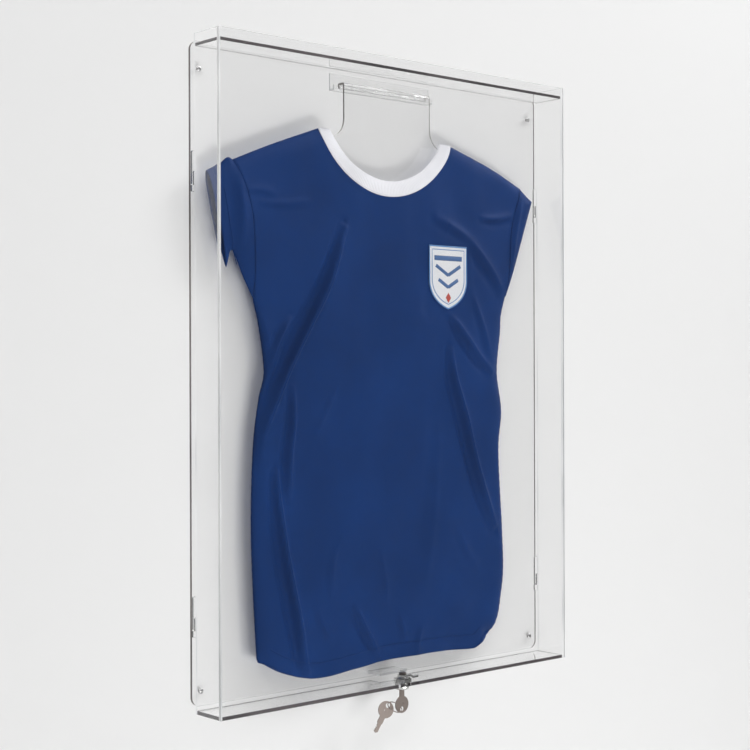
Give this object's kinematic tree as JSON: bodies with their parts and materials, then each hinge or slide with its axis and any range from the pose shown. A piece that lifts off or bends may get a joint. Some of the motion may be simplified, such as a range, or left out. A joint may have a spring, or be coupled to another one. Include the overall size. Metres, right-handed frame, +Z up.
{
  "type": "jersey display frame",
  "caption": "Wall-mounted clear acrylic case with a lift-off cover hung on side hooks, a cam lock with keys in its floor, and a football shirt on a clear hanger.",
  "frame": {"origin": "centre of the back panel's rear face, which lies on the wall", "axes": "+Z up, +X to the right of a viewer facing the case, -Y out of the wall towards that viewer"},
  "size_m": [0.63, 0.065, 0.912],
  "materials": {
    "acrylic": "clear cast acrylic sheet with flame-polished edges",
    "screw_steel": "zinc-plated",
    "lock_chrome": "bright nickel-chrome plate",
    "key_nickel": "nickel-plated brass",
    "jersey_fabric": "knitted polyester",
    "collar_rib": "ribbed knit",
    "badge_embroidery": "embroidered patch"
  },
  "bodies": {
    "wall_unit": {"back_panel": "acrylic", "wall_screw_top_left": "screw_steel", "wall_screw_top_right": "screw_steel", "wall_screw_bottom_left": "screw_steel", "wall_screw_bottom_right": "screw_steel", "wall_hook_upper_left": "acrylic", "wall_hook_upper_right": "acrylic", "wall_hook_lower_left": "acrylic", "wall_hook_lower_right": "acrylic", "hanger_rail": "acrylic", "lock_keeper": "acrylic"},
    "cover": {"front_panel": "acrylic", "left_side_panel": "acrylic", "right_side_panel": "acrylic", "top_panel": "acrylic", "bottom_panel": "acrylic", "cover_hook_upper_left": "acrylic", "cover_hook_upper_right": "acrylic", "cover_hook_lower_left": "acrylic", "cover_hook_lower_right": "acrylic", "lock_housing": "lock_chrome", "lock_nut": "lock_chrome"},
    "lock_core": {"lock_plug": "lock_chrome", "lock_cam": "lock_chrome", "cam_screw": "screw_steel"},
    "key": {"lock_key": "key_nickel"},
    "ring": {"key_ring": "key_nickel"},
    "spare": {"spare_key": "key_nickel"},
    "hanger": {"hanger_plate": "acrylic", "jersey_front": "jersey_fabric", "jersey_back": "jersey_fabric", "sleeve_left": "jersey_fabric", "sleeve_right": "jersey_fabric", "collar": "collar_rib", "badge": "badge_embroidery"}
  },
  "joints": [
    {"name": "cover_lift", "type": "slide", "parent": "wall_unit", "child": "cover", "axis": [0, 0, 1], "range_m": [0, 0.018]},
    {"name": "lock_turn", "type": "hinge", "parent": "cover", "child": "lock_core", "pos_m": [0, -0.048, -0.42], "axis": [0, 0, 1], "range_deg": [0, 90]},
    {"name": "key_withdraw", "type": "slide", "parent": "lock_core", "child": "key", "axis": [0, 0, -1], "range_m": [0, 0.016]},
    {"name": "ring_swing", "type": "hinge", "parent": "key", "child": "ring", "pos_m": [0, -0.048, -0.4589], "axis": [0.486, 0.7618, 0.4283], "range_deg": [-45, 5]},
    {"name": "spare_key_swing", "type": "hinge", "parent": "ring", "child": "spare", "pos_m": [-0.0183, -0.03991, -0.45252], "axis": [0.486, 0.7618, 0.4283], "range_deg": [-15, 20]},
    {"name": "hanger_lift", "type": "slide", "parent": "wall_unit", "child": "hanger", "axis": [0, 0, 1], "range_m": [0, 0.008]}
  ]
}
